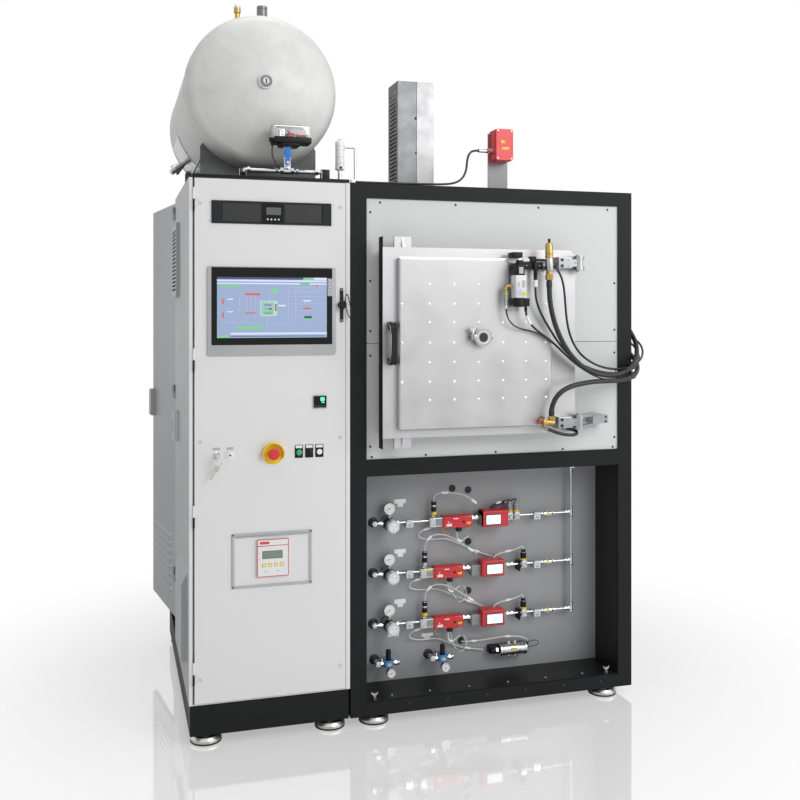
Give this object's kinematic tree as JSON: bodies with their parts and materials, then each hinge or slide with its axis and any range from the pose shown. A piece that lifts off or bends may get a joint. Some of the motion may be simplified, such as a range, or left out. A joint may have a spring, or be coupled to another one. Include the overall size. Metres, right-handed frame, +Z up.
{
  "type": "vacuum chamber furnace",
  "caption": "Box vacuum furnace with a framed chamber, swinging cooled door, open gas panel, control cabinet with a touch screen, and a gas tank on the roof.",
  "frame": {"origin": "on the floor under the middle of the machine's box, hoses and cables left out", "axes": "+Z up, +Y from the doors to the back, +X to the right seen from the front"},
  "size_m": [2.0616, 1.4893, 2.921],
  "materials": {
    "cabinet_grey": "light grey textured powder coat",
    "side_grey": "mid grey powder coat",
    "base_black": "black powder coat",
    "panel_grey": "light grey painted sheet",
    "bay_grey": "dark grey painted sheet",
    "foot_zinc": "zinc plated steel on a rubber sole",
    "plate_zinc": "galvanised sheet with devices on rails",
    "transformer_iron": "varnished laminations and windings",
    "stainless": "ground stainless steel",
    "tank_steel": "dull galvanised steel",
    "pipe_steel": "bright stainless tube and fittings",
    "insulation_felt": "rigid graphite felt board",
    "graphite": "machined graphite",
    "seal_rubber": "black elastomer",
    "pump_paint": "blue machine paint",
    "controller_clear": "clear cover over a black base",
    "valve_blue": "blue dipped lever",
    "alarm_red": "red moulded box on a bare bracket",
    "meter_red": "red coated aluminium",
    "knob_silver": "turned aluminium",
    "knob_black": "black moulded plastic",
    "screen_alloy": "brushed alloy bezel",
    "rack_black": "black steel",
    "instrument_plastic": "grey plastic instrument cases",
    "bezel_chrome": "chromed bezels and a yellow shroud",
    "key_steel": "nickel plated barrel and key",
    "button_red": "red mushroom head",
    "button_green": "green cap",
    "button_black": "black cap",
    "button_white": "white cap",
    "gauge_body": "metal and plastic gauge parts with brass fittings",
    "cable_black": "black rubber hose and cable",
    "lead_grey": "light grey sensor lead"
  },
  "bodies": {
    "machine": {"cabinet_body": "cabinet_grey", "cabinet_plinth": "base_black", "levelling_feet": "foot_zinc", "mounting_plate": "plate_zinc", "power_cabinet": "cabinet_grey", "transformer": "transformer_iron", "furnace_frame": "base_black", "front_panels": "panel_grey", "outer_panels": "base_black", "gas_bay_liner": "base_black", "gas_panel": "bay_grey", "chamber_vessel": "stainless", "chamber_insulation": "insulation_felt", "heating_elements": "graphite", "hearth": "graphite", "door_seal": "seal_rubber", "vacuum_pump": "pump_paint", "gas_tank": "tank_steel", "roof_pipework": "pipe_steel", "tank_controller": "controller_clear", "exhaust_torch": "stainless", "alarm_box": "alarm_red", "hinge_brackets": "stainless", "gas_pipes": "pipe_steel", "gas_regulators": "pipe_steel", "flow_controllers": "meter_red", "upper_hose": "cable_black", "lower_hose": "cable_black", "valve_cable": "cable_black", "manifold_cable": "cable_black", "gauge_cable": "cable_black", "air_line": "cable_black", "roof_conduit": "cable_black", "panel_leads": "lead_grey"},
    "cabinet_door": {"cabinet_door_panel": "cabinet_grey", "rack_unit": "rack_black", "touch_panel": "screen_alloy", "panel_instruments": "instrument_plastic", "switch_bezels": "bezel_chrome"},
    "lock": {"lock_knob": "knob_black"},
    "key": {"key_switch": "key_steel"},
    "emergency_stop": {"emergency_button": "button_red"},
    "round_push": {"round_button": "button_white"},
    "green_push": {"green_button": "button_green"},
    "black_push": {"black_button": "button_black"},
    "white_push": {"white_button": "button_white"},
    "service_door": {"service_door": "side_grey"},
    "chamber_door": {"door_plate": "stainless", "door_jacket": "stainless", "door_handle": "knob_black", "viewport": "stainless", "door_insulation": "insulation_felt", "door_hinge_arms": "stainless", "door_instruments": "gauge_body"},
    "tank_valve": {"tank_valve_handle": "valve_blue"},
    "regulator_1": {"regulator_knob_1": "knob_silver"},
    "regulator_2": {"regulator_knob_2": "knob_silver"},
    "regulator_3": {"regulator_knob_3": "knob_silver"},
    "filter_1": {"filter_knob_1": "knob_black"},
    "filter_2": {"filter_knob_2": "knob_black"}
  },
  "joints": [
    {"name": "cabinet_door_hinge", "type": "hinge", "parent": "machine", "child": "cabinet_door", "pos_m": [-0.90737, -0.55735, 1.145], "axis": [0, 0, 1], "range_deg": [-115, 0]},
    {"name": "service_door_hinge", "type": "hinge", "parent": "machine", "child": "service_door", "pos_m": [-0.93237, 0.24565, 1.184], "axis": [0, 0, 1], "range_deg": [-9, 95]},
    {"name": "chamber_door_hinge", "type": "hinge", "parent": "machine", "child": "chamber_door", "pos_m": [0.61563, -0.67535, 1.505], "axis": [0, 0, 1], "range_deg": [0, 110], "deforming": ["upper_hose", "lower_hose", "valve_cable", "manifold_cable", "gauge_cable", "air_line"]},
    {"name": "lock_turn", "type": "hinge", "parent": "cabinet_door", "child": "lock", "pos_m": [-0.34137, -0.56535, 1.655], "axis": [0, 1, 0], "range_deg": [0, 90]},
    {"name": "key_turn", "type": "hinge", "parent": "cabinet_door", "child": "key", "pos_m": [-0.82337, -0.56535, 1.088], "axis": [0, 1, 0], "range_deg": [0, 90]},
    {"name": "emergency_press", "type": "slide", "parent": "cabinet_door", "child": "emergency_stop", "axis": [0, 1, 0], "range_m": [0, 0.006]},
    {"name": "round_press", "type": "slide", "parent": "cabinet_door", "child": "round_push", "axis": [0, 1, 0], "range_m": [0, 0.003], "stiffness_N_per_m": 900, "springref_m": -0.002},
    {"name": "green_press", "type": "slide", "parent": "cabinet_door", "child": "green_push", "axis": [0, 1, 0], "range_m": [0, 0.003], "stiffness_N_per_m": 900, "springref_m": -0.002},
    {"name": "black_press", "type": "slide", "parent": "cabinet_door", "child": "black_push", "axis": [0, 1, 0], "range_m": [0, 0.003], "stiffness_N_per_m": 900, "springref_m": -0.002},
    {"name": "white_press", "type": "slide", "parent": "cabinet_door", "child": "white_push", "axis": [0, 1, 0], "range_m": [0, 0.003], "stiffness_N_per_m": 900, "springref_m": -0.002},
    {"name": "tank_valve_turn", "type": "hinge", "parent": "machine", "child": "tank_valve", "pos_m": [-0.54837, -0.53035, 2.204], "axis": [0, 1, 0], "range_deg": [0, 90]},
    {"name": "regulator_turn_1", "type": "hinge", "parent": "machine", "child": "regulator_1", "pos_m": [-0.10237, -0.44535, 0.754], "axis": [0, 1, 0], "range_deg": [-360, 360]},
    {"name": "regulator_turn_2", "type": "hinge", "parent": "machine", "child": "regulator_2", "pos_m": [-0.10237, -0.44535, 0.545], "axis": [0, 1, 0], "range_deg": [-360, 360]},
    {"name": "regulator_turn_3", "type": "hinge", "parent": "machine", "child": "regulator_3", "pos_m": [-0.10237, -0.44535, 0.336], "axis": [0, 1, 0], "range_deg": [-360, 360]},
    {"name": "filter_turn_1", "type": "hinge", "parent": "machine", "child": "filter_1", "pos_m": [-0.11237, -0.41535, 0.22], "axis": [0, 0, 1], "range_deg": [-360, 360]},
    {"name": "filter_turn_2", "type": "hinge", "parent": "machine", "child": "filter_2", "pos_m": [0.12163, -0.41535, 0.22], "axis": [0, 0, 1], "range_deg": [-360, 360]}
  ]
}
